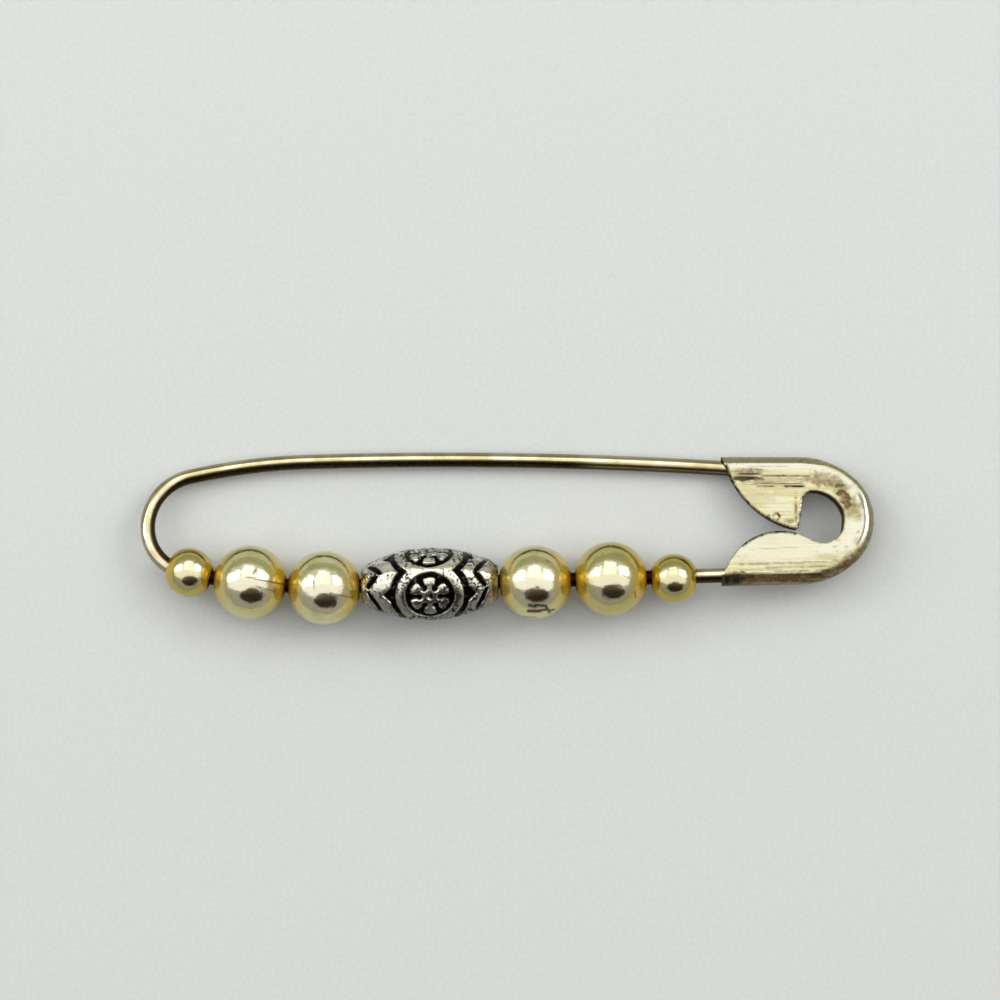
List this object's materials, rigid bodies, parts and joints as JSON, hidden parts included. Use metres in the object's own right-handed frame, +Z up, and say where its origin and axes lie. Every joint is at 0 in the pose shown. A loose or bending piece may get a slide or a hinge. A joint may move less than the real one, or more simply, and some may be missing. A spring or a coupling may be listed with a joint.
{
  "type": "safety pin brooch",
  "caption": "Gold-tone safety pin brooch with round gilt beads and an old-silver barrel bead strung on its wire, lying flat.",
  "frame": {"origin": "Middle of the footprint, on the surface that the brooch lies on", "axes": "+X from the wire's bend to the cap, +Y from the beaded arm to the pin arm, +Z up from the surface"},
  "size_m": [0.0596, 0.014, 0.006],
  "materials": {
    "wire": "polished plate over steel wire, worn and tarnished",
    "cap": "lightly brushed gilt plate over sheet steel, scratched and tarnished",
    "gilt_bead": "metallised, mirror-like pale gold",
    "silver_bead": "antiqued cast metal, polished high spots and black recesses"
  },
  "bodies": {
    "frame": {"fixed_wire": "wire", "cap": "cap", "bead_1": "gilt_bead", "bead_2": "gilt_bead", "bead_3": "gilt_bead", "barrel_bead": "silver_bead", "bead_4": "gilt_bead", "bead_5": "gilt_bead", "bead_6": "gilt_bead"},
    "pin": {"pin_arm": "wire"}
  },
  "joints": [
    {"name": "pin_press", "type": "hinge", "parent": "frame", "child": "pin", "pos_m": [-0.0286, 0.0009, 0.00207], "axis": [0, -0.2177, -0.976], "range_deg": [0, 6], "stiffness_Nm_per_rad": 0.7}
  ]
}
